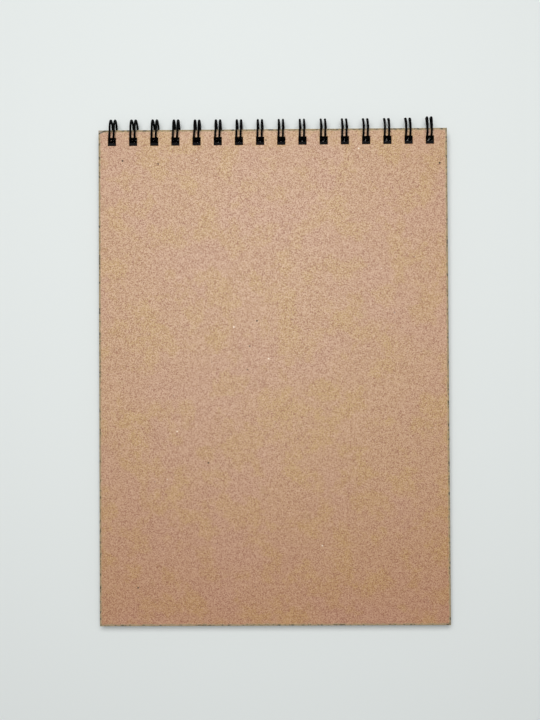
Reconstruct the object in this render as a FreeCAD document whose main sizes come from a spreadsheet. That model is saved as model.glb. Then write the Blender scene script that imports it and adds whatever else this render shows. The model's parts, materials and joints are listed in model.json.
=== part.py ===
import FreeCAD, Part
import math
import os
import Sketcher

# A top-bound note pad: a stack of leaves between two boards, held by one wire of twin loops.
# +X runs along the bound edge, +Y points from the pad to the loops and +Z up through the front cover.
# The origin is under the middle of the whole pad, at the height of the lowest point of the loops.

doc = FreeCAD.newDocument("ring_pad")

# Driving sizes, in millimetres and degrees
driving_sizes = [
    ("cover_width", 139.2, "along the bound edge"),
    ("cover_length", 197.6, "from the bound edge to the free end"),
    ("board_thickness", 0.8, "each cover"),
    ("page_stack", 3.0, "all the leaves together"),
    ("page_inset", 0.5, "how far the leaves stay inside the covers at the three free edges"),
    ("hole_pitch", 8.467, "three holes to the inch"),
    ("end_margin", 5.5, "least distance from a side edge to the centre of the last hole"),
    ("row_shift", 0.73, "how far the row of holes sits left of the middle"),
    ("hole_width", 3.24, "along the bound edge"),
    ("hole_height", 3.3, "across the bound edge, in the covers"),
    ("leaf_hole_height", 2.0, "the same in the leaves, which are seen through the covers' holes"),
    ("hole_margin", 3.0, "from the bound edge to the holes"),
    ("wire_diameter", 0.86, "coated wire"),
    ("leg_spacing", 1.7, "between the two legs of a loop"),
    ("leg_side_gap", 0.06, "from the left side of a hole to the left leg"),
    ("leg_edge_gap", 0.06, "from the inner edge of a hole in a cover to the legs"),
    ("turning_gap", 0.05, "from the bound edge to the centre line of the loops"),
    ("seam_angle", 263.0, "where the legs leave the base of the wire, from +Y over +Z"),
    ("base_bend_radius", 1.0, "where the base turns into a leg"),
    ("tip_gap", 0.15, "clear gap between a closed tip and the base"),
    ("end_stub", 0.9, "straight piece of base beyond the first and last loop"),
]

sizes = doc.addObject("Spreadsheet::Sheet", "sizes")
for row, (name, value, note) in enumerate(driving_sizes, start=1):
    sizes.set("A%d" % row, name)
    sizes.set("B%d" % row, str(value))
    sizes.setAlias("B%d" % row, name)
    sizes.set("C%d" % row, note)
doc.recompute()

# Sizes that follow from the driving ones. The loops are circles about one line, which is also the
# line that the covers and leaves turn about, so the legs stay in the holes at every angle.
ring = doc.addObject("App::VarSet", "ring")
following_sizes = [
    ("half_stack", "sizes.board_thickness + sizes.page_stack / 2"),
    ("inner_radius", "sqrt((sizes.hole_margin + sizes.turning_gap + sizes.leg_edge_gap) ^ 2"
                     " + ring.half_stack ^ 2)"),
    ("radius", "ring.inner_radius + sizes.wire_diameter / 2"),
    ("outer_radius", "ring.inner_radius + sizes.wire_diameter"),
    ("bound_edge", "(sizes.cover_length - sizes.turning_gap - ring.outer_radius) / 2"),
    ("centre_y", "ring.bound_edge + sizes.turning_gap"),
    ("pad_bottom", "ring.outer_radius - ring.half_stack"),
    ("hole_count", "floor((sizes.cover_width - 2 * sizes.end_margin) / sizes.hole_pitch) + 1"),
    ("first_hole", "(ring.hole_count - 1) * sizes.hole_pitch / 2 + sizes.row_shift"),
]
for name, formula in following_sizes:
    ring.addProperty("App::PropertyFloat", name)
    ring.setExpression(name, formula)
doc.recompute()


def origin_feature(body, role):
    """The plane or axis of a body's own origin that has this role."""
    for feature in body.Origin.OriginFeatures:
        if feature.Role == role:
            return feature
    raise ValueError("the body has no " + role)


def rectangle_sketch(body, name, width, height, left, top):
    """A rectangle on the body's XY plane, its sizes and its top left corner bound to formulas.

    left and top are how far that corner lies to the left of and below the body's origin.
    """
    sketch = body.newObject("Sketcher::SketchObject", name)
    sketch.AttachmentSupport = [(origin_feature(body, "XY_Plane"), "")]
    sketch.MapMode = "FlatFace"
    left_x, right_x, top_y, bottom_y = -2.0, 2.0, -1.0, -3.0
    corners = [
        FreeCAD.Vector(left_x, top_y, 0),
        FreeCAD.Vector(right_x, top_y, 0),
        FreeCAD.Vector(right_x, bottom_y, 0),
        FreeCAD.Vector(left_x, bottom_y, 0),
    ]
    for start, end in zip(corners, corners[1:] + corners[:1]):
        sketch.addGeometry(Part.LineSegment(start, end), False)
    for side in range(4):
        sketch.addConstraint(Sketcher.Constraint("Coincident", side, 2, (side + 1) % 4, 1))
    for side, direction in enumerate(("Horizontal", "Vertical", "Horizontal", "Vertical")):
        sketch.addConstraint(Sketcher.Constraint(direction, side))
    bound = [
        ("width", Sketcher.Constraint("DistanceX", 0, 1, 0, 2, right_x - left_x), width),
        ("height", Sketcher.Constraint("DistanceY", 1, 2, 1, 1, top_y - bottom_y), height),
        ("left", Sketcher.Constraint("DistanceX", 0, 1, -1, 1, -left_x), left),
        ("top", Sketcher.Constraint("DistanceY", 0, 1, -1, 1, -top_y), top),
    ]
    for label, constraint, formula in bound:
        index = sketch.addConstraint(constraint)
        sketch.renameConstraint(index, label)
        sketch.setExpression("Constraints." + label, formula)
    return sketch


def punched_stack(name, thickness, inset, level, hole_height):
    """A board or a block of leaves with its row of holes, lying at a level of the pad."""
    body = doc.addObject("PartDesign::Body", name)
    body.Label = name
    outline = rectangle_sketch(
        body, name + "_outline",
        width="sizes.cover_width - 2 * (%s)" % inset,
        height="sizes.cover_length - (%s)" % inset,
        left="sizes.cover_width / 2 - (%s)" % inset,
        top="0",
    )
    slab = body.newObject("PartDesign::Pad", name + "_slab")
    slab.Profile = outline
    slab.setExpression("Length", thickness)
    doc.recompute()
    whole_volume = slab.Shape.Volume

    hole = rectangle_sketch(
        body, name + "_hole",
        width="sizes.hole_width",
        height=hole_height,
        left="ring.first_hole + sizes.hole_width / 2",
        top="sizes.hole_margin",
    )
    punch = body.newObject("PartDesign::Pocket", name + "_punch")
    punch.Profile = hole
    punch.Type = "ThroughAll"
    punch.Reversed = True
    doc.recompute()

    row = body.newObject("PartDesign::LinearPattern", name + "_row")
    row.Originals = [punch]
    row.Direction = (origin_feature(body, "X_Axis"), [""])
    row.setExpression("Length", "(ring.hole_count - 1) * sizes.hole_pitch")
    row.setExpression("Occurrences", "ring.hole_count")
    body.Tip = row
    body.setExpression("Placement.Base.y", "ring.bound_edge")
    body.setExpression("Placement.Base.z", level)
    doc.recompute()

    hole_area = hole.getDatum("width").Value * hole.getDatum("height").Value
    punched_out = ring.hole_count * hole_area * slab.Length.Value
    if abs(whole_volume - body.Shape.Volume - punched_out) > punched_out * 1e-6:
        raise ValueError(name + ": the holes don't go through")
    return body


def loop_point(x, angle, along=0.0):
    """A point of a loop's centre line at an angle round the ring, moved along the tangent there."""
    turn = math.radians(angle)
    y = ring.centre_y + ring.radius * math.cos(turn) - along * math.sin(turn)
    z = ring.outer_radius + ring.radius * math.sin(turn) + along * math.cos(turn)
    return FreeCAD.Vector(x, y, z)


def loop_edges(left, right, tip_angle):
    """One loop: base bend, left leg, rounded tip, right leg and base bend, all tangent."""
    base_angle = sizes.seam_angle
    bend = sizes.base_bend_radius
    in_bend = bend * (1 - math.cos(math.radians(45)))
    half_spacing = (right - left) / 2
    middle = (left + right) / 2
    far_side = (base_angle + tip_angle) / 2
    base_left = loop_point(left - bend, base_angle, -bend)
    base_right = loop_point(right + bend, base_angle, -bend)
    foot_left = loop_point(left, base_angle)
    foot_right = loop_point(right, base_angle)
    tip_left = loop_point(left, tip_angle)
    tip_right = loop_point(right, tip_angle)
    return [
        Part.Arc(base_left, loop_point(left - in_bend, base_angle, -bend + in_bend), foot_left),
        Part.Arc(foot_left, loop_point(left, far_side), tip_left),
        Part.Arc(tip_left, loop_point(middle, tip_angle, half_spacing), tip_right),
        Part.Arc(tip_right, loop_point(right, far_side), foot_right),
        Part.Arc(foot_right, loop_point(right + in_bend, base_angle, -bend + in_bend), base_right),
    ]


def binding_path():
    """The whole wire's centre line, from the first loop to the last along the base."""
    # A tip closes to the seam from the other side of the ring. Its round end and the base bends
    # beside it are circles, and the clear gap is kept along the line between their centres.
    bend = sizes.base_bend_radius
    centres_apart = sizes.leg_spacing / 2 + bend
    centres_gap = centres_apart + sizes.wire_diameter + sizes.tip_gap
    tip_reach = math.sqrt(centres_gap ** 2 - centres_apart ** 2)
    tip_angle = sizes.seam_angle - math.degrees(tip_reach / ring.radius) + 360
    first_leg = -ring.first_hole - sizes.hole_width / 2 + sizes.leg_side_gap + sizes.wire_diameter / 2
    curves = []
    reached = loop_point(first_leg - bend - sizes.end_stub, sizes.seam_angle, -bend)
    for number in range(int(ring.hole_count)):
        left = first_leg + number * sizes.hole_pitch
        edges = loop_edges(left, left + sizes.leg_spacing, tip_angle)
        curves.append(Part.LineSegment(reached, edges[0].StartPoint))
        curves.extend(edges)
        reached = edges[-1].EndPoint
    curves.append(Part.LineSegment(reached, reached + FreeCAD.Vector(sizes.end_stub, 0, 0)))
    return Part.Wire([curve.toShape() for curve in curves])


def wire_binding():
    """The wire as a round section swept along its centre line."""
    path = doc.addObject("Part::Feature", "wire_path")
    path.Shape = binding_path()
    section = doc.addObject("Part::Circle", "wire_section")
    section.setExpression("Radius", "sizes.wire_diameter / 2")
    start = path.Shape.OrderedVertexes[0].Point
    across = FreeCAD.Rotation(FreeCAD.Vector(0, 0, 1), FreeCAD.Vector(1, 0, 0))
    section.Placement = FreeCAD.Placement(start, across)
    doc.recompute()
    sweep = doc.addObject("Part::Sweep", "wire_binding")
    sweep.Label = "wire_binding"
    sweep.Sections = [section]
    sweep.Spine = (path, ["Edge%d" % (index + 1) for index in range(len(path.Shape.Edges))])
    sweep.Solid = True
    sweep.Frenet = False
    doc.recompute()
    expected = path.Shape.Length * math.pi * (sizes.wire_diameter / 2) ** 2
    if abs(sweep.Shape.Volume - expected) > expected * 0.01:
        raise ValueError("the wire's volume doesn't match its length")
    return sweep


subparts = [
    punched_stack("back_cover", "sizes.board_thickness", "0", "ring.pad_bottom", "sizes.hole_height"),
    punched_stack("page_block", "sizes.page_stack", "sizes.page_inset",
                  "ring.pad_bottom + sizes.board_thickness", "sizes.leaf_hole_height"),
    punched_stack("front_cover", "sizes.board_thickness", "0",
                  "ring.pad_bottom + sizes.board_thickness + sizes.page_stack", "sizes.hole_height"),
    wire_binding(),
]

for item in doc.Objects:
    if "Invalid" in item.State or "Error" in item.State:
        raise ValueError(item.Name + " failed: " + ", ".join(item.State))
for item in subparts:
    if item.Shape.isNull() or not item.Shape.isValid():
        raise ValueError(item.Label + " has no valid shape")

os.makedirs("parts", exist_ok=True)
for item in subparts:
    item.Shape.exportStep("parts/%s.step" % item.Label)
    box = item.Shape.BoundBox
    print(
        "%s: %d solid, %.1f mm3, x %.2f to %.2f, y %.2f to %.2f, z %.2f to %.2f"
        % (item.Label, len(item.Shape.Solids), item.Shape.Volume,
           box.XMin, box.XMax, box.YMin, box.YMax, box.ZMin, box.ZMax)
    )
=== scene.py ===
import json
import math

import bpy
import numpy as np
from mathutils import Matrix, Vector


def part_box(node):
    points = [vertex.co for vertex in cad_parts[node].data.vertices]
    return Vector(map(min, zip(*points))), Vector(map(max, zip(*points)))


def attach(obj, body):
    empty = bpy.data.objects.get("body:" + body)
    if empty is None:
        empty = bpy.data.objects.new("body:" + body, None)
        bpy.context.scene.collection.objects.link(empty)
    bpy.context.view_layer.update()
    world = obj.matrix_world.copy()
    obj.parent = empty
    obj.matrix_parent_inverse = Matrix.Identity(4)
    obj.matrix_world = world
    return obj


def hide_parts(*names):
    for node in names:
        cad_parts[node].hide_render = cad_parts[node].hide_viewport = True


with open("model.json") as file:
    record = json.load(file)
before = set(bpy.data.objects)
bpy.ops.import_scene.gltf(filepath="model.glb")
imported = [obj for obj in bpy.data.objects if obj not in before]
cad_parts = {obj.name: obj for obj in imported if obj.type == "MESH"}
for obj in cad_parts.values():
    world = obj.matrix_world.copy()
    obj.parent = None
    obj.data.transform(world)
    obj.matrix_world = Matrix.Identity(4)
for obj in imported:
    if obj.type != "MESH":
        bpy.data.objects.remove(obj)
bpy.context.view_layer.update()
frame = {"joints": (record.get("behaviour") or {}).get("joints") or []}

# All lengths are metres; mm turns the small ones into metres
mm = 0.001
frontLow, frontHigh = [np.array(corner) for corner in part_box("front_cover")]
backLow, backHigh = [np.array(corner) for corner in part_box("back_cover")]
pageLow, pageHigh = [np.array(corner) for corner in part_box("page_block")]
wireLow, wireHigh = [np.array(corner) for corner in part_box("wire_binding")]
ringCentre = np.array(frame["joints"][0]["pos_m"])
boundEdge = frontHigh[1]

# The row of punched holes, which the boards, the leaves and the wire share
holeRow = {
    "count": 16,
    "pitch": 8.467 * mm,
    "shift": -0.73 * mm,        # of the row's middle from the pad's middle
    "width": 3.24 * mm,
    "height": 3.3 * mm,         # in the covers
    "leafHeight": 2.0 * mm,     # in the leaves
    "margin": 3.0 * mm,         # from the bound edge to the holes
}
holeNumbers = np.arange(holeRow["count"]) - (holeRow["count"] - 1) / 2
holeCentres = holeRow["shift"] + holeRow["pitch"] * holeNumbers
holeSides = np.concatenate([holeCentres - holeRow["width"] / 2, holeCentres + holeRow["width"] / 2])


# Mesh helpers

# Puts arrays of points and faces into a mesh object that rides on a body
def addPiece(name, points, faces, material, body, smooth=False):
    mesh = bpy.data.meshes.new(name)
    mesh.from_pydata(points.tolist(), [], [face for group in faces for face in group.tolist()])
    mesh.polygons.foreach_set("use_smooth", np.full(len(mesh.polygons), smooth))
    mesh.update()
    piece = bpy.data.objects.new(name, mesh)
    bpy.context.scene.collection.objects.link(piece)
    piece.data.materials.append(material)
    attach(piece, body)
    return piece


# Rounds the sharp edges of a piece a little
def softenEdges(piece, width, segments):
    bevel = piece.modifiers.new("softEdges", "BEVEL")
    bevel.width = width
    bevel.segments = segments
    bevel.limit_method = "ANGLE"
    bevel.angle_limit = math.radians(50)
    bevel.use_clamp_overlap = True


# Evenly stepped lines from low to high, and the fixed lines among them. An even line that stands
# nearer to a fixed one than about a third of a step is left out
def linesBetween(low, high, step, fixed):
    even = np.linspace(low, high, max(2, int(round((high - low) / step)) + 1))
    fixed = np.unique(np.round(np.append(fixed, [low, high]), 9))
    clear = np.abs(even[:, None] - fixed[None, :]).min(axis=1) > step * 0.35
    return np.sort(np.append(even[clear], fixed))


# A slab on a lattice of lines. A cell inside a hole is left out; each kept cell gives a top and a
# bottom face, and each side of a kept cell with no kept neighbour gives a wall
def punchedSlab(xLines, yLines, low, high, centres, rowTop, width, height):
    midX = (xLines[:-1] + xLines[1:]) / 2
    midY = (yLines[:-1] + yLines[1:]) / 2
    inHole = (np.abs(midX[:, None] - centres[None, :]) < width / 2).any(axis=1)
    inRow = np.abs(midY - (rowTop - height / 2)) < height / 2
    keep = ~(inRow[:, None] & inHole[None, :])
    index = np.arange(len(yLines) * len(xLines)).reshape(len(yLines), len(xLines))
    under = index.size
    nearLeft, nearRight = index[:-1, :-1], index[:-1, 1:]
    farRight, farLeft = index[1:, 1:], index[1:, :-1]
    top = np.stack([nearLeft, nearRight, farRight, farLeft], axis=-1)[keep]
    faces = [top, top[:, ::-1] + under]
    around = np.pad(keep, 1)
    sides = [
        (nearLeft, nearRight, around[:-2, 1:-1]),
        (nearRight, farRight, around[1:-1, 2:]),
        (farRight, farLeft, around[2:, 1:-1]),
        (farLeft, nearLeft, around[1:-1, :-2]),
    ]
    for start, end, neighbour in sides:
        bare = keep & ~neighbour
        a, b = start[bare], end[bare]
        faces.append(np.stack([a + under, b + under, b, a], axis=-1))
    gridX, gridY = np.meshgrid(xLines, yLines)
    layer = np.stack([gridX.ravel(), gridY.ravel()], axis=-1)
    points = np.concatenate([
        np.column_stack([layer, np.full(under, high)]),
        np.column_stack([layer, np.full(under, low)]),
    ])
    corners = np.concatenate(faces)
    used, packed = np.unique(corners, return_inverse=True)
    return points[used], packed.reshape(corners.shape)


# Node helpers

# Adds a node, sets its options, and links or sets its inputs
def addNode(tree, kind, options=None, inputs=None):
    node = tree.nodes.new(kind)
    for key, value in (options or {}).items():
        setattr(node, key, value)
    for key, value in (inputs or {}).items():
        if isinstance(value, bpy.types.NodeSocket):
            tree.links.new(value, node.inputs[key])
        else:
            node.inputs[key].default_value = value
    return node


# One step of arithmetic on values or sockets
def calc(tree, operation, *values):
    node = addNode(tree, "ShaderNodeMath", {"operation": operation}, dict(enumerate(values)))
    return node.outputs[0]


# A smooth rise from low at start to high at end
def ramp(tree, value, start, end, low=0.0, high=1.0):
    node = addNode(tree, "ShaderNodeMapRange", {"interpolation_type": "SMOOTHSTEP"}, {
        "Value": value, "From Min": start, "From Max": end, "To Min": low, "To Max": high})
    return node.outputs[0]


# Mixes two colours by a share
def mixColour(tree, share, first, second, mode="MIX"):
    node = addNode(tree, "ShaderNodeMix", {"data_type": "RGBA", "blend_type": mode}, {
        0: share, 6: first, 7: second})
    return node.outputs[2]


# Lays a colour over another where a mask is, at a weight
def layOver(tree, mask, weight, under, over):
    return mixColour(tree, calc(tree, "MULTIPLY", mask, weight), under, over)


# Fractal noise from 0 to 1, about 0.5
def noise(tree, vector, scale, detail=2.0, roughness=0.5):
    node = addNode(tree, "ShaderNodeTexNoise", None, {
        "Vector": vector, "Scale": scale, "Detail": detail, "Roughness": roughness})
    return node.outputs[0]


# The vector scaled, so that a pattern on it runs in streaks, and turned about Z by some degrees
def stretched(tree, vector, turn, scale=(1.0, 1.0, 1.0)):
    node = addNode(tree, "ShaderNodeMapping", None, {
        "Vector": vector, "Rotation": (0.0, 0.0, math.radians(turn)), "Scale": scale})
    return node.outputs[0]


# An empty node group with named sockets. Returns its tree, its input node and its output node
def newGroup(name, inputs, outputs):
    tree = bpy.data.node_groups.new(name, "ShaderNodeTree")
    for label, kind, value in inputs:
        socket = tree.interface.new_socket(name=label, in_out="INPUT", socket_type=kind)
        if value is not None:
            socket.default_value = value
    for label, kind in outputs:
        tree.interface.new_socket(name=label, in_out="OUTPUT", socket_type=kind)
    return tree, tree.nodes.new("NodeGroupInput"), tree.nodes.new("NodeGroupOutput")


# Puts a group into a material with that material's own values
def placeGroup(tree, group, inputs):
    return addNode(tree, "ShaderNodeGroup", {"node_tree": group}, inputs).outputs


# Gives the shader a fine relief: its strength, its height in metres and the map it follows
def addRelief(tree, shader, strength, depth, relief):
    bump = addNode(tree, "ShaderNodeBump", None, {
        "Strength": strength, "Distance": depth, "Height": relief})
    tree.links.new(bump.outputs[0], shader.inputs["Normal"])


# A material with a Principled shader. Returns it, its tree, the shader and the place in millimetres
def newMaterial(name):
    material = bpy.data.materials.new(name)
    material.use_nodes = True
    tree = material.node_tree
    shader = next(node for node in tree.nodes if node.type == "BSDF_PRINCIPLED")
    place = addNode(tree, "ShaderNodeTexCoord")
    inMillimetres = addNode(tree, "ShaderNodeVectorMath", {"operation": "SCALE"}, {
        0: place.outputs["Object"], "Scale": 1 / mm})
    return material, tree, shader, inMillimetres.outputs[0]


# Shared effects

# Pressed fibres: the strongest of three crossing streaks of noise on a bent place, and a fine grain
# that is a weighted sum of noise and of random cells
def makeFibreGroup():
    tree, given, result = newGroup(
        "pressedFibres",
        [("Place", "NodeSocketVector", None),
         ("Grain Size", "NodeSocketFloat", 0.5),
         ("Fibre Length", "NodeSocketFloat", 2.5)],
        [("Grain", "NodeSocketFloat"),
         ("Fibres", "NodeSocketFloat")])
    place = given.outputs["Place"]
    fine = calc(tree, "DIVIDE", 1.0, given.outputs["Grain Size"])
    grainNoise = noise(tree, place, fine, 3.0, 0.6)
    flecks = addNode(tree, "ShaderNodeTexVoronoi", {"feature": "SMOOTH_F1"}, {
        "Vector": place, "Scale": calc(tree, "MULTIPLY", fine, 1.1), "Smoothness": 0.35})
    fleck = addNode(tree, "ShaderNodeSeparateColor", None, {"Color": flecks.outputs["Color"]})
    grain = calc(tree, "MULTIPLY_ADD", fleck.outputs[0], 0.40,
                 calc(tree, "MULTIPLY", grainNoise, 0.60))
    bend = addNode(tree, "ShaderNodeTexNoise", None, {
        "Vector": place, "Scale": 0.25, "Detail": 1.0})
    bent = addNode(tree, "ShaderNodeVectorMath", {"operation": "MULTIPLY_ADD"}, {
        0: bend.outputs["Color"], 1: (2.5, 2.5, 2.5), 2: place})
    along = calc(tree, "DIVIDE", 1.0, given.outputs["Fibre Length"])
    crossing = 0.0
    for turn in (12.0, 74.0, 131.0):
        lying = stretched(tree, bent.outputs[0], turn, (1.0, 7.0, 1.0))
        crossing = calc(tree, "MAXIMUM", crossing, noise(tree, lying, along, 2.0, 0.55))
    tree.links.new(grain, result.inputs["Grain"])
    tree.links.new(ramp(tree, crossing, 0.5, 0.78), result.inputs["Fibres"])
    return tree


# Scattered specks: in a share of the cells, a dot of uneven size and outline about the cell's
# point. Cell and Radius are in millimetres
def makeSpeckGroup():
    tree, given, result = newGroup(
        "scatteredSpecks",
        [("Place", "NodeSocketVector", None),
         ("Cell", "NodeSocketFloat", 6.0),
         ("Radius", "NodeSocketFloat", 0.3),
         ("Share", "NodeSocketFloat", 0.2)],
        [("Mask", "NodeSocketFloat")])
    wobble = addNode(tree, "ShaderNodeTexNoise", None, {
        "Vector": given.outputs["Place"], "Scale": 2.2, "Detail": 2.0})
    moved = addNode(tree, "ShaderNodeVectorMath", {"operation": "MULTIPLY_ADD"}, {
        0: wobble.outputs["Color"], 1: (0.5, 0.5, 0.5), 2: given.outputs["Place"]})
    perCell = addNode(tree, "ShaderNodeVectorMath", {"operation": "SCALE"}, {
        0: moved.outputs[0], "Scale": calc(tree, "DIVIDE", 1.0, given.outputs["Cell"])})
    cells = addNode(tree, "ShaderNodeTexVoronoi", {"feature": "F1"}, {
        "Vector": perCell.outputs[0], "Scale": 1.0})
    chance = addNode(tree, "ShaderNodeSeparateColor", None, {"Color": cells.outputs["Color"]})
    picked = calc(tree, "LESS_THAN", chance.outputs[0], given.outputs["Share"])
    distance = calc(tree, "MULTIPLY", cells.outputs["Distance"], given.outputs["Cell"])
    reach = calc(tree, "MULTIPLY", given.outputs["Radius"],
                 calc(tree, "MULTIPLY_ADD", chance.outputs[1], 0.8, 0.3))
    dot = calc(tree, "SUBTRACT", 1.0, ramp(tree, calc(tree, "DIVIDE", distance, reach), 0.5, 1.1))
    tree.links.new(calc(tree, "MULTIPLY", dot, picked), result.inputs["Mask"])
    return tree


# Distance in from a rectangle's outline, seen from above: the least of the distances to its sides
def makeEdgeGroup():
    tree, given, result = newGroup(
        "insetFromOutline",
        [("Place", "NodeSocketVector", None),
         ("Middle", "NodeSocketVector", None),
         ("Half Size", "NodeSocketVector", None)],
        [("Distance", "NodeSocketFloat")])
    away = addNode(tree, "ShaderNodeVectorMath", {"operation": "SUBTRACT"}, {
        0: given.outputs["Place"], 1: given.outputs["Middle"]})
    size = addNode(tree, "ShaderNodeVectorMath", {"operation": "ABSOLUTE"}, {0: away.outputs[0]})
    inset = addNode(tree, "ShaderNodeVectorMath", {"operation": "SUBTRACT"}, {
        0: given.outputs["Half Size"], 1: size.outputs[0]})
    parts = addNode(tree, "ShaderNodeSeparateXYZ", None, {0: inset.outputs[0]})
    least = calc(tree, "MINIMUM", parts.outputs[0], parts.outputs[1])
    tree.links.new(least, result.inputs["Distance"])
    return tree


fibreGroup = makeFibreGroup()
speckGroup = makeSpeckGroup()
edgeGroup = makeEdgeGroup()

# Kraft board. Lengths in a look are millimetres; a scale is features in each millimetre

boardLook = {
    "pink": (0.426, 0.212, 0.093, 1.0),
    "yellow": (0.420, 0.227, 0.038, 1.0),
    "green": (0.380, 0.226, 0.040, 1.0),
    "darkGrain": (0.215, 0.040, 0.002, 1.0),
    "lightGrain": (0.590, 0.335, 0.190, 1.0),
    "speck": (0.100, 0.045, 0.022, 1.0),
    "paleSpeck": (0.860, 0.720, 0.560, 1.0),
    # A khaki band along the outline: the cut edge's colour darkened by painted edge shade
    "roundedEdgeAndShade": (0.320, 0.262, 0.145, 1.0),
    # Near black, for the dark marks, the dark spots along the outline and the painted shade in the
    # crease
    "darkMarkAndShade": (0.030, 0.026, 0.014, 1.0),
    "paintedFalloff": (0.960, 0.850, 0.930, 1.0),      # painted shade: multiplied in toward the end away from the loops, where the light falls off
    "paintedFalloffFrom": (-20.0, -110.0),             # along Y: where that starts and where it is full
    "cutEdge": (0.340, 0.270, 0.180, 1.0),
    "patchScale": 0.035,
    "blotchScale": 0.10,
    "blotchShare": 0.65,        # of the mix of pink and yellow; the patches have the rest
    "oliveScale": 0.14,
    "oliveWeight": 0.35,
    "grainSize": 0.33,
    "fibreLength": 2.0,
    "darkWeight": 0.88,         # of the grain's dark side, its light side and the fibres
    "lightWeight": 0.66,
    "fibreWeight": 0.22,
    "lineWidth": (0.10, 1.3),   # of the khaki band on the outline, cut edge colour with painted edge shade: the least, and what noise adds
    "lineFade": 0.16,
    "lineWeight": 0.78,
    "edgeSpotScale": 0.9,
    "edgeSpotReach": (0.75, 0.35),  # in from the outline: where the dark spots start and are full
    "edgeSpotWeight": 0.85,
    "markWeight": 0.85,
    "roughness": (0.58, 0.46),  # in the grain's dark side and in its light side
    "specular": 1.00,
    "relief": (0.35, 0.05 * mm),
}

# Even specks of the board: the cell that may hold one, the radius, the share of cells that do, the
# weight and the colour
speckKinds = [
    (1.9, 0.25, 0.16, 0.55, "speck"),
    (8.0, 0.42, 0.10, 0.75, "speck"),
    (6.1, 0.36, 0.10, 0.50, "paleSpeck"),
]

# Where the front board is creased at its left bound corner
crease = {
    "down": 1.5 * mm,           # where the crease meets the left edge, below the corner
    "along": 2.9 * mm,          # where it meets the bound edge, right of the corner
    "lift": 24.0,               # degrees that the corner is bent up
    "lineWidth": 0.36,          # of the dark line of painted shade in the crease, in millimetres
    "lineWeight": 0.95,
    "worn": (0.420, 0.375, 0.310, 1.0),
    "wornWeight": 0.75,
}

# Single marks on the front board that stand out from the even specks: how far from the left edge
# and from the bound edge, and the radius, all in millimetres. The last three dark ones are on
# corners
darkMarks = [
    (9.6, 12.3, 0.42), (23.8, 13.6, 0.34), (63.0, 76.6, 0.40), (60.0, 86.7, 0.36),
    (59.1, 96.0, 0.32), (136.2, 14.0, 0.45), (67.0, 4.4, 0.32), (43.4, 133.0, 0.36),
    (15.3, 182.4, 0.38), (0.5, 197.2, 0.50), (138.7, 0.5, 0.50), (138.8, 196.9, 0.55),
]
paleMarks = [
    (104.0, 8.0, 0.36), (67.6, 91.7, 0.34), (53.8, 79.0, 0.32), (88.5, 166.0, 0.30),
    (31.0, 120.5, 0.30),
]


# The union of round marks: for each, one inside about half its radius and nothing just past it
def markMask(tree, place, marks):
    total = None
    for fromLeft, fromEdge, radius in marks:
        centre = (frontLow[0] / mm + fromLeft, frontHigh[1] / mm - fromEdge, frontHigh[2] / mm)
        away = addNode(tree, "ShaderNodeVectorMath", {"operation": "DISTANCE"}, {
            0: place, 1: centre})
        dot = ramp(tree, away.outputs["Value"], radius * 1.25, radius * 0.55)
        total = dot if total is None else calc(tree, "MAXIMUM", total, dot)
    return total


# How far a place lies beyond the crease line, in millimetres: its distance from the line's start
# along the line's outward direction
def pastCrease(tree, place):
    start = np.array([frontLow[0], frontHigh[1] - crease["down"]]) / mm
    run = np.array([crease["along"], crease["down"]]) / mm
    run = run / np.linalg.norm(run)
    outward = (-run[1], run[0], 0.0)
    away = addNode(tree, "ShaderNodeVectorMath", {"operation": "SUBTRACT"}, {
        0: place, 1: (start[0], start[1], 0.0)})
    beyond = addNode(tree, "ShaderNodeVectorMath", {"operation": "DOT_PRODUCT"}, {
        0: away.outputs[0], 1: outward})
    return beyond.outputs["Value"]
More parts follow.
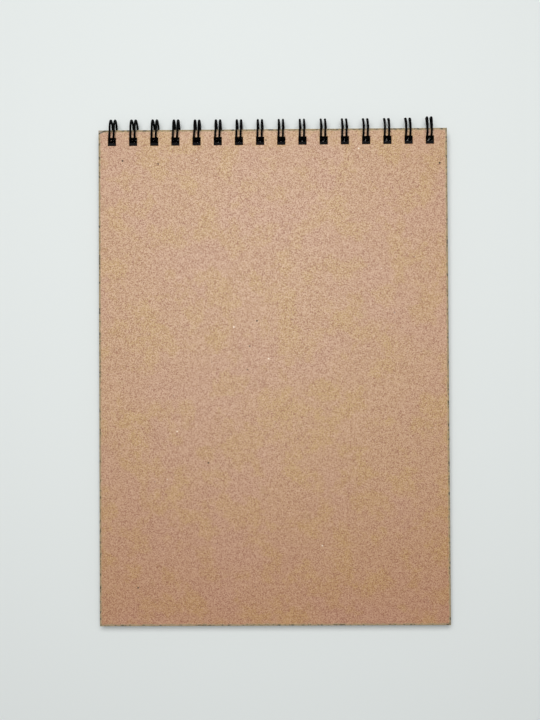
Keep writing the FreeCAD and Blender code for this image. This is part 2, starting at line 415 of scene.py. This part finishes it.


# Unbleached board: pink and yellow shared out by patches, olive in places, grain, fibres and specks
# over them, painted shade toward the end away from the loops, and along the outline a khaki band
# of the cut edge's colour with painted edge shade, and dark broken spots. The marked one also has
# the front board's single marks and its worn corner with painted shade in the crease. Walls show
# the board's layers
def makeBoardMaterial(name, look, marked):
    material, tree, shader, place = newMaterial(name)
    patches = ramp(tree, noise(tree, place, look["patchScale"]), 0.38, 0.62)
    turned = stretched(tree, place, 30.0)
    blotches = ramp(tree, noise(tree, turned, look["blotchScale"], 3.0, 0.55), 0.47, 0.62)
    share = calc(tree, "MULTIPLY_ADD", patches, 1 - look["blotchShare"],
                 calc(tree, "MULTIPLY", blotches, look["blotchShare"]))
    ground = mixColour(tree, share, look["pink"], look["yellow"])
    turned = stretched(tree, place, 75.0)
    olive = ramp(tree, noise(tree, turned, look["oliveScale"]), 0.60, 0.78)
    ground = layOver(tree, olive, look["oliveWeight"], ground, look["green"])
    along = addNode(tree, "ShaderNodeSeparateXYZ", None, {0: place})
    # Painted shade: darker and more saturated toward the end away from the loops, where the light
    # falls off
    toPaintedFalloff = ramp(tree, along.outputs[1], *look["paintedFalloffFrom"])
    ground = mixColour(tree, toPaintedFalloff, ground, look["paintedFalloff"], "MULTIPLY")

    # Grain, fibres and even specks
    fibres = placeGroup(tree, fibreGroup, {
        "Place": place, "Grain Size": look["grainSize"], "Fibre Length": look["fibreLength"]})
    grainDark = ramp(tree, fibres["Grain"], 0.52, 0.24)
    grainLight = ramp(tree, fibres["Grain"], 0.48, 0.76)
    tone = layOver(tree, grainDark, look["darkWeight"], ground, look["darkGrain"])
    tone = layOver(tree, grainLight, look["lightWeight"], tone, look["lightGrain"])
    tone = layOver(tree, fibres["Fibres"], look["fibreWeight"], tone, look["lightGrain"])
    for cell, radius, share, weight, colour in speckKinds:
        specks = placeGroup(tree, speckGroup, {
            "Place": place, "Cell": cell, "Radius": radius, "Share": share})
        tone = layOver(tree, specks["Mask"], weight, tone, look[colour])
    if marked:
        darkSpots = markMask(tree, place, darkMarks)
        paleSpots = markMask(tree, place, paleMarks)
        tone = layOver(tree, darkSpots, look["markWeight"], tone, look["darkMarkAndShade"])
        tone = layOver(tree, paleSpots, look["markWeight"], tone, look["paleSpeck"])

    # The outline, measured on the front board, which the back one lies under. Along it a khaki band
    # of the cut edge's colour with painted edge shade, then dark broken spots
    middle = (frontLow + frontHigh) / 2 / mm
    half = (frontHigh - frontLow) / 2 / mm
    inset = placeGroup(tree, edgeGroup, {"Place": place, "Middle": middle, "Half Size": half})
    breakUp = noise(tree, place, 0.45, 3.0, 0.7)
    leastWidth, addedWidth = look["lineWidth"]
    lineWidth = calc(tree, "MULTIPLY_ADD", breakUp, addedWidth, leastWidth)
    pastLine = calc(tree, "SUBTRACT", inset["Distance"], lineWidth)
    onLine = ramp(tree, pastLine, look["lineFade"], -look["lineFade"])
    tone = layOver(tree, onLine, look["lineWeight"], tone, look["roundedEdgeAndShade"])
    # Dark broken spots just inside the outline
    rough = ramp(tree, noise(tree, place, look["edgeSpotScale"], 2.0, 0.6), 0.52, 0.62)
    edgeSpots = calc(tree, "MULTIPLY", rough, ramp(tree, inset["Distance"], *look["edgeSpotReach"]))
    tone = layOver(tree, edgeSpots, look["edgeSpotWeight"], tone, look["darkMarkAndShade"])
    dull = calc(tree, "MAXIMUM", edgeSpots, calc(tree, "MULTIPLY", onLine, 0.9))

    # The creased corner: worn past the crease, with a dark uneven line of painted shade in the
    # crease
    if marked:
        dull = calc(tree, "MAXIMUM", dull, darkSpots)
        beyond = pastCrease(tree, place)
        worn = ramp(tree, beyond, 0.05, 0.30)
        tone = layOver(tree, worn, crease["wornWeight"], tone, crease["worn"])
        wander = calc(tree, "MULTIPLY_ADD", breakUp, 0.3, -0.15)
        offLine = calc(tree, "ABSOLUTE", calc(tree, "ADD", beyond, wander))
        dark = ramp(tree, offLine, crease["lineWidth"], crease["lineWidth"] * 0.2)
        tone = layOver(tree, dark, crease["lineWeight"], tone, look["darkMarkAndShade"])

    # The cut edges, told by how level the surface is
    facing = addNode(tree, "ShaderNodeTexCoord").outputs["Normal"]
    upright = addNode(tree, "ShaderNodeSeparateXYZ", None, {0: facing})
    onSide = ramp(tree, calc(tree, "ABSOLUTE", upright.outputs[2]), 0.75, 0.35)
    layers = noise(tree, stretched(tree, place, 0.0, (0.35, 0.35, 5.0)), 1.6, 3.0, 0.6)
    side = mixColour(tree, ramp(tree, layers, 0.35, 0.65), look["cutEdge"], look["darkGrain"])
    tone = mixColour(tree, onSide, tone, side)
    tree.links.new(tone, shader.inputs["Base Color"])

    # Dull in the dark grain, on the outline and in the dark marks
    shade = ramp(tree, fibres["Grain"], 0.34, 0.64, *look["roughness"])
    tree.links.new(calc(tree, "MAXIMUM", shade, dull), shader.inputs["Roughness"])
    shader.inputs["Specular IOR Level"].default_value = look["specular"]
    fuzz = calc(tree, "MULTIPLY", fibres["Fibres"], 0.5)
    addRelief(tree, shader, *look["relief"], calc(tree, "MULTIPLY_ADD", fibres["Grain"], 0.6, fuzz))
    return material


# Leaves

leafLook = {
    # Black paper, set darker than black paper is so that it also stands in for the shade in the
    # punched holes
    "paperAndHoleShade": (0.009, 0.009, 0.010, 1.0),
    "shade": (0.005, 0.005, 0.005, 1.0),
    "grainSize": 0.35,
    "fibreLength": 1.4,
    "shadeWeight": 0.45,
    "roughness": (0.80, 0.90),
    "specular": 0.06,
    "relief": (0.20, 0.03 * mm),
}


# Uncoated black paper, its tone set below black paper's own so that it also paints the shade in the
# holes: grain and thin level layers of noise add up to the share of the darker shade
def makeLeafMaterial(look):
    material, tree, shader, place = newMaterial("leafPaper")
    fibres = placeGroup(tree, fibreGroup, {
        "Place": place, "Grain Size": look["grainSize"], "Fibre Length": look["fibreLength"]})
    layers = noise(tree, stretched(tree, place, 0.0, (0.04, 0.04, 9.0)), 1.0, 2.0, 0.7)
    darker = calc(tree, "ADD", ramp(tree, layers, 0.3, 0.7), fibres["Grain"])
    tone = layOver(tree, darker, look["shadeWeight"], look["paperAndHoleShade"], look["shade"])
    tree.links.new(tone, shader.inputs["Base Color"])
    shade = ramp(tree, fibres["Grain"], 0.3, 0.7, *look["roughness"])
    tree.links.new(shade, shader.inputs["Roughness"])
    shader.inputs["Specular IOR Level"].default_value = look["specular"]
    addRelief(tree, shader, *look["relief"], fibres["Fibres"])
    return material


# Black coated wire

wireLook = {
    "black": (0.002, 0.002, 0.002, 1.0),
    "dust": (0.006, 0.006, 0.007, 1.0),
    "cloudScale": 0.9,
    "pitScale": 9.0,
    "roughness": (0.42, 0.60),
    "specular": 0.02,
    "relief": (0.15, 0.02 * mm),
}


# A thin coating: a cloud of noise shares out black and dust and makes the gloss uneven, and a finer
# noise gives it faint pits
def makeWireMaterial(look):
    material, tree, shader, place = newMaterial("blackCoating")
    cloud = noise(tree, place, look["cloudScale"], 3.0, 0.6)
    pits = noise(tree, place, look["pitScale"], 2.0, 0.6)
    tone = mixColour(tree, ramp(tree, cloud, 0.45, 0.75), look["black"], look["dust"])
    tree.links.new(tone, shader.inputs["Base Color"])
    shade = ramp(tree, cloud, 0.3, 0.7, *look["roughness"])
    tree.links.new(shade, shader.inputs["Roughness"])
    shader.inputs["Specular IOR Level"].default_value = look["specular"]
    addRelief(tree, shader, *look["relief"], pits)
    return material


kraftFront = makeBoardMaterial("kraftFront", boardLook, marked=True)
kraftBack = makeBoardMaterial("kraftBack", boardLook, marked=False)
leafPaper = makeLeafMaterial(leafLook)
blackCoating = makeWireMaterial(wireLook)

# Covers

coverBuild = {
    "step": 4.0 * mm,           # between the lattice lines
    "cornerStep": 0.35 * mm,    # between the lines near the creased corner
    "cornerReach": 3.5 * mm,    # how far from that corner they go
    "edgeRound": 0.11 * mm,
    "edgeSegments": 2,
}


# Turns what lies beyond a slanting crease line up about that line: a point so far beyond it moves
# back by that times one less the angle's cosine, and up by that times its sine
def creaseCorner(points, corner, down, along, lift):
    start = corner + np.array([0.0, -down])
    end = corner + np.array([along, 0.0])
    run = (end - start) / np.linalg.norm(end - start)
    outward = np.array([-run[1], run[0]])
    beyond = np.clip((points[:, :2] - start) @ outward, 0.0, None)
    turn = math.radians(lift)
    points[:, :2] -= np.outer(beyond * (1 - math.cos(turn)), outward)
    points[:, 2] += beyond * math.sin(turn)
    return points


# A board with its row of holes, its edges just softened, and on the front one a bent corner
def makeCover(name, node, low, high, body, material, build, creased):
    rowTop = high[1] - holeRow["margin"]
    xLines = linesBetween(low[0], high[0], build["step"], holeSides)
    yLines = linesBetween(low[1], high[1], build["step"], [rowTop, rowTop - holeRow["height"]])
    if creased:
        fine = np.arange(build["cornerStep"], build["cornerReach"], build["cornerStep"])
        xLines = np.unique(np.round(np.append(xLines, low[0] + fine), 9))
        yLines = np.unique(np.round(np.append(yLines, high[1] - fine), 9))
    points, faces = punchedSlab(
        xLines, yLines, low[2], high[2], holeCentres, rowTop,
        holeRow["width"], holeRow["height"])
    if creased:
        corner = np.array([low[0], high[1]])
        points = creaseCorner(points, corner, crease["down"], crease["along"], crease["lift"])
    cover = addPiece(name, points, [faces], material, body)
    softenEdges(cover, build["edgeRound"], build["edgeSegments"])
    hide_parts(node)
    return cover


makeCover("frontBoard", "front_cover", frontLow, frontHigh, "front", kraftFront, coverBuild,
          creased=True)
makeCover("backBoard", "back_cover", backLow, backHigh, "base", kraftBack, coverBuild,
          creased=False)
print("covers made")

# Leaves

stackBuild = {
    "leaves": 30,
    "step": 1.0,                # wider than the pad, so only its sides and the holes give lines
    "gapShare": 0.12,           # of each leaf's room that stays open as a dark line
    "slip": 0.05 * mm,          # how far a leaf may sit off the others
    "seed": 7,
}


# The leaves as thin punched slabs one over the other, each slipped a little by a seeded draw
def makeLeaves(build):
    draw = np.random.default_rng(build["seed"])
    rise = (pageHigh[2] - pageLow[2]) / build["leaves"]
    thickness = rise * (1 - build["gapShare"])
    rowTop = pageHigh[1] - holeRow["margin"]
    rowEnds = [rowTop, rowTop - holeRow["leafHeight"]]
    xLines = linesBetween(pageLow[0], pageHigh[0], build["step"], holeSides)
    yLines = linesBetween(pageLow[1], pageHigh[1], build["step"], rowEnds)
    allPoints, allFaces, count = [], [], 0
    for number in range(build["leaves"]):
        bottom = pageLow[2] + number * rise + rise * build["gapShare"] / 2
        points, faces = punchedSlab(
            xLines, yLines, bottom, bottom + thickness, holeCentres, rowTop,
            holeRow["width"], holeRow["leafHeight"])
        points[:, :2] += draw.uniform(-build["slip"], build["slip"], 2)
        allPoints.append(points)
        allFaces.append(faces + count)
        count += len(points)
    stack = addPiece("leafStack", np.concatenate(allPoints), allFaces, leafPaper, "leaves")
    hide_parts("page_block")
    return stack


makeLeaves(stackBuild)
print("leaves made")

# Wire

wireBuild = {
    "thickness": 0.86 * mm,
    "legSpacing": 1.7 * mm,
    "sideGap": 0.06 * mm,       # from the left side of a hole to the left leg
    "bend": 1.0 * mm,           # radius of the base bends
    "seam": 263.0,              # degrees from +Y over +Z, where the legs leave the base
    "tipGap": 0.40 * mm,        # open between a tip and the bends of the base
    "stub": 0.9 * mm,           # of base wire past the first and the last leg
    "sides": 14,                # of the wire's round section
    "legSteps": 84,
    "bendSteps": 8,
    "tipSteps": 14,
    # Loop by loop, to the right of the holes under the pad
    "lowShift": [lean * mm for lean in (
        0.44, 0.44, 0.44, 0.46, 0.46, 0.42, 0.38, 0.36,
        0.40, 0.46, 0.58, 0.70, 0.78, 0.84, 0.90, 0.90)],
    # Loop by loop, to the right where a loop stands out furthest
    "topShift": [lean * mm for lean in (
        0.54, 0.36, 0.38, 0.45, 0.44, 0.36, 0.28, 0.20,
        0.14, 0.08, 0.02, 0.0, 0.0, 0.0, 0.0, 0.0)],
    # To the right just under the back board, and at the tips
    "seamShift": (0.50 * mm, 0.85 * mm),
    # Loop by loop, outward over the bound edge; its place is the middle and the reach each way, in
    # degrees from +Y over +Z
    "bulge": [0.0] * 14 + [0.10 * mm, 0.66 * mm],
    "bulgePlace": (400.0, 35.0),
    # Loop by loop, inward where a loop stands out furthest, and its place
    "tuck": [inward * mm for inward in (
        0.0, 0.0, 0.0, 0.12, 0.24, 0.24, 0.24, 0.24,
        0.22, 0.24, 0.24, 0.24, 0.24, 0.22, 0.16, 0.0)],
    "tuckPlace": (373.0, 25.0),
    "stops": (260.0, 300.0, 360.0, 455.0, 515.0, 550.0, 570.0, 582.0),    # degrees, for the shifts
}


# A raised cosine round a loop: one at its middle, and nothing past its reach
def bump(angle, middle, reach):
    turn = np.abs(np.degrees(angle) - middle) / reach
    return np.where(turn < 1.0, 0.5 + 0.5 * np.cos(np.pi * turn), 0.0)


# How far each loop stands out of the round: its bulge less its tuck, each times its raised cosine
def loopBulge(angle, build):
    outward = np.outer(build["bulge"], bump(angle, *build["bulgePlace"]))
    return outward - np.outer(build["tuck"], bump(angle, *build["tuckPlace"]))


# How far each loop leans to the right at each angle round it, in straight lines between the stops:
# by the low shift near the base, by the top shift from the outermost place to above the pad's edge,
# not at all in the holes, and by the seam shift below the back board, where the legs fill the view
# through the holes
def loopShift(angle, build):
    stops = np.radians(build["stops"])
    shifts = []
    for lowShift, topShift in zip(build["lowShift"], build["topShift"]):
        atStops = [lowShift, lowShift, topShift, topShift, 0.0, 0.0, *build["seamShift"]]
        shifts.append(np.interp(angle, stops, atStops))
    return np.array(shifts)


# The centre line unrolled on the loops' cylinder: how far along X, how far round and how far out.
# Legs run round, tips are half circles between two legs, bends are quarter circles onto the base
def wireCentreLine(build):
    radius = (wireHigh[1] - ringCentre[1]) - build["thickness"] / 2
    bend = build["bend"]
    spacing = build["legSpacing"]
    apart = spacing / 2 + bend
    tipReach = math.sqrt((apart + build["thickness"] + build["tipGap"]) ** 2 - apart ** 2)
    foot = math.radians(build["seam"]) * radius
    tip = foot + 2 * math.pi * radius - tipReach
    firstLeg = holeCentres - holeRow["width"] / 2 + build["sideGap"] + build["thickness"] / 2
    quarter = np.linspace(0, math.pi / 2, build["bendSteps"])
    half = np.linspace(0, math.pi, build["tipSteps"] + 2)[1:-1]
    legs = np.linspace(foot, tip, build["legSteps"])[1:]
    loop = np.concatenate([
        np.column_stack([-bend + bend * np.sin(quarter), foot - bend * np.cos(quarter)]),
        np.column_stack([np.zeros(len(legs)), legs]),
        np.column_stack([spacing / 2 * (1 - np.cos(half)), tip + spacing / 2 * np.sin(half)]),
        np.column_stack([np.full(len(legs), spacing), legs[::-1]]),
        np.column_stack([spacing + bend - bend * np.sin(quarter[::-1]),
                         foot - bend * np.cos(quarter[::-1])]),
    ])
    loops = np.concatenate([loop[None]] * holeRow["count"])
    loops[:, :, 0] += firstLeg[:, None] + loopShift(loop[:, 1] / radius, build)
    loops = np.dstack([loops, radius + loopBulge(loop[:, 1] / radius, build)])
    path = loops.reshape(-1, 3)
    first = path[0] - [build["stub"], 0, 0]
    last = path[-1] + [build["stub"], 0, 0]
    return np.concatenate([[first], path, [last]]), radius


# A round section carried along a path: each ring is a cosine times the outward direction and a sine
# times its cross product with the path's direction
def tubeMesh(path, outward, radius, sides):
    run = np.gradient(path, axis=0)
    run /= np.linalg.norm(run, axis=1)[:, None]
    across = np.cross(run, outward)
    across /= np.linalg.norm(across, axis=1)[:, None]
    upward = np.cross(across, run)
    turn = np.linspace(0, 2 * math.pi, sides, endpoint=False)
    cosine, sine = np.cos(turn)[None, :, None], np.sin(turn)[None, :, None]
    rings = path[:, None] + radius * (cosine * upward[:, None] + sine * across[:, None])
    index = np.arange(len(path) * sides).reshape(len(path), sides)
    beside = np.roll(index, -1, axis=1)
    walls = np.stack([index[:-1], beside[:-1], beside[1:], index[1:]], axis=-1).reshape(-1, 4)
    return rings.reshape(-1, 3), [walls[:, ::-1], index[:1], index[-1:, ::-1]]


# The whole binding as one tube: the unrolled centre line's second row becomes an angle about the
# loops' middle line, and its third the distance from it
def makeWire(build):
    flat, radius = wireCentreLine(build)
    angle = flat[:, 1] / radius
    outward = np.column_stack([np.zeros(len(flat)), np.cos(angle), np.sin(angle)])
    path = ringCentre * [0, 1, 1] + flat[:, 2:] * outward
    path[:, 0] = flat[:, 0]
    points, faces = tubeMesh(path, outward, build["thickness"] / 2, build["sides"])
    wire = addPiece("loopWire", points, faces, blackCoating, "base", smooth=True)
    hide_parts("wire_binding")
    return wire


makeWire(wireBuild)
print("wire made")

# Table, light and camera

stageLook = {
    "table": (0.755, 0.784, 0.779, 1.0),
    "cloud": (0.700, 0.750, 0.740, 1.0),
    "cloudScale": 0.02,         # features in each millimetre
    "cloudWeight": 0.02,
    "roughness": 0.70,
    "specular": 0.20,
    "size": 3.0,
}


# A pale table, a square that touches the loops' lowest line and the far edge of the back cover
def makeTable(look):
    half = look["size"] / 2
    fall = (backLow[2] - wireLow[2]) / (ringCentre[1] - backLow[1])
    y = np.array([-half, half])
    z = wireLow[2] + (ringCentre[1] - y) * fall
    points = np.array([
        [-half, y[0], z[0]], [half, y[0], z[0]], [half, y[1], z[1]], [-half, y[1], z[1]]])
    material, tree, shader, place = newMaterial("paleTable")
    cloud = ramp(tree, noise(tree, place, look["cloudScale"]), 0.35, 0.65)
    tone = layOver(tree, cloud, look["cloudWeight"], look["table"], look["cloud"])
    tree.links.new(tone, shader.inputs["Base Color"])
    shader.inputs["Roughness"].default_value = look["roughness"]
    shader.inputs["Specular IOR Level"].default_value = look["specular"]
    mesh = bpy.data.meshes.new("table")
    mesh.from_pydata(points.tolist(), [], [[0, 1, 2, 3]])
    table = bpy.data.objects.new("table", mesh)
    bpy.context.scene.collection.objects.link(table)
    mesh.materials.append(material)


lightPlan = {
    "skyColour": (0.94, 0.98, 1.0, 1.0),
    "skyStrength": 0.10,
    "aim": (0.0, 0.0, 0.0),
}

# Each soft light: its place, its width and depth, its power and its colour
softLights = {
    "window": ((-0.025, 0.17, 0.70), (0.40, 0.50), 4.55, (0.995, 1.0, 0.985)),
    "ceiling": ((0.0, 0.1, 1.80), (2.4, 2.4), 8.0, (0.97, 0.99, 1.0)),
}


# A soft window over the loops' side, a wide ceiling and a faint even sky
def makeLights(plan):
    world = bpy.data.worlds.new("softSky")
    world.use_nodes = True
    bpy.context.scene.world = world
    sky = next(node for node in world.node_tree.nodes if node.type == "BACKGROUND")
    sky.inputs["Color"].default_value = plan["skyColour"]
    sky.inputs["Strength"].default_value = plan["skyStrength"]
    for name, (place, size, power, colour) in softLights.items():
        light = bpy.data.lights.new(name, "AREA")
        light.shape = "RECTANGLE"
        light.size, light.size_y = size
        light.energy = power
        light.color = colour
        lamp = bpy.data.objects.new(name, light)
        bpy.context.scene.collection.objects.link(lamp)
        lamp.location = place
        direction = Vector(plan["aim"]) - Vector(place)
        lamp.rotation_euler = direction.to_track_quat("-Z", "Y").to_euler()


cameraPlan = {
    "above": 430.0 * mm,        # over the front cover
    "right": 2.9 * mm,          # of the pad's middle
    "below": 99.7 * mm,         # from the bound edge
    "turn": (0.965, 0.563, -0.315),     # degrees about X, Y and Z
    "lens": 54.03,
    "shift": (-0.5 / 720, 0.5 / 720),   # half a pixel each way
    "clipStart": 0.01,
}


# A camera nearly straight above the pad
def makeCamera(plan):
    camera = bpy.data.cameras.new("overhead")
    camera.lens = plan["lens"]
    camera.shift_x, camera.shift_y = plan["shift"]
    camera.clip_start = plan["clipStart"]
    holder = bpy.data.objects.new("overhead", camera)
    bpy.context.scene.collection.objects.link(holder)
    holder.location = (plan["right"], boundEdge - plan["below"], frontHigh[2] + plan["above"])
    holder.rotation_euler = [math.radians(angle) for angle in plan["turn"]]
    bpy.context.scene.camera = holder


makeTable(stageLook)
makeLights(lightPlan)
makeCamera(cameraPlan)
bpy.context.scene.view_settings.view_transform = "Standard"
print("table, light and camera made")
